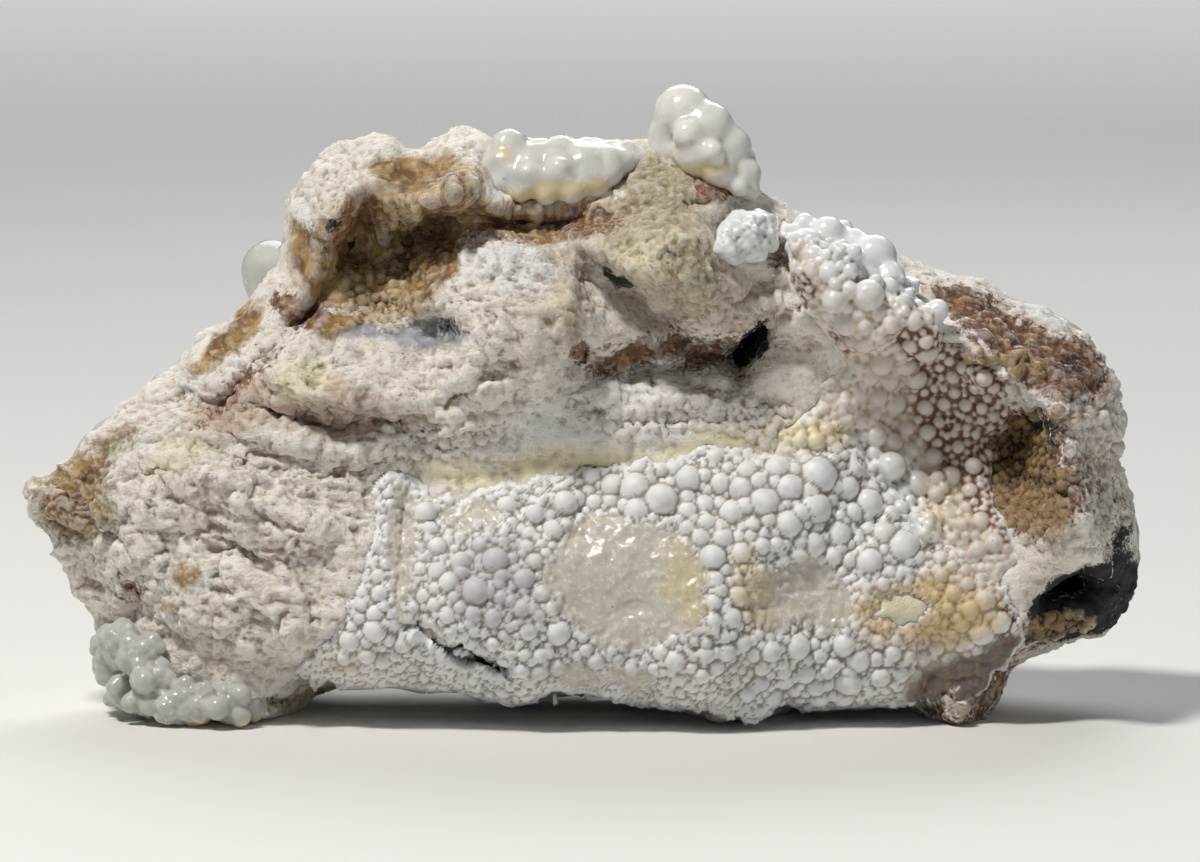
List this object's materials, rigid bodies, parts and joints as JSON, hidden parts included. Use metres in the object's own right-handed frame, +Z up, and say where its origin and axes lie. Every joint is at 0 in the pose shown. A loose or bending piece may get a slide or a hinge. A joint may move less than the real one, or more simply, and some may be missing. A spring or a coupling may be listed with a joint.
{
  "type": "hyalite opal on chalcedony specimen",
  "caption": "Rough upright slab of chalcedony with a pointed left end and a domed summit, its front and back grown over with grape-like hyalite opal.",
  "frame": {"origin": "middle of the bounding box at the base plane the stone stands on", "axes": "+X along the length from the pointed end towards the end with the dark cavity, +Y from the broken front to the back, +Z up"},
  "size_m": [0.0896, 0.0344, 0.0507],
  "materials": {
    "chalcedony": "dull to waxy broken stone, cream and honey with brown and black stains",
    "milky_hyalite": "close-packed white domes, satin to glossy, translucent at thin edges",
    "clear_hyalite": "glassy, clear to milky domes",
    "summit_hyalite": "smooth milky to clear domes with a wet gloss",
    "foot_hyalite": "small grey-white glassy domes"
  },
  "bodies": {
    "root": {"chalcedony_matrix": "chalcedony", "hyalite_front_crust": "milky_hyalite", "hyalite_back_crust": "clear_hyalite", "hyalite_summit": "summit_hyalite", "hyalite_foot_cluster": "foot_hyalite"}
  },
  "joints": []
}
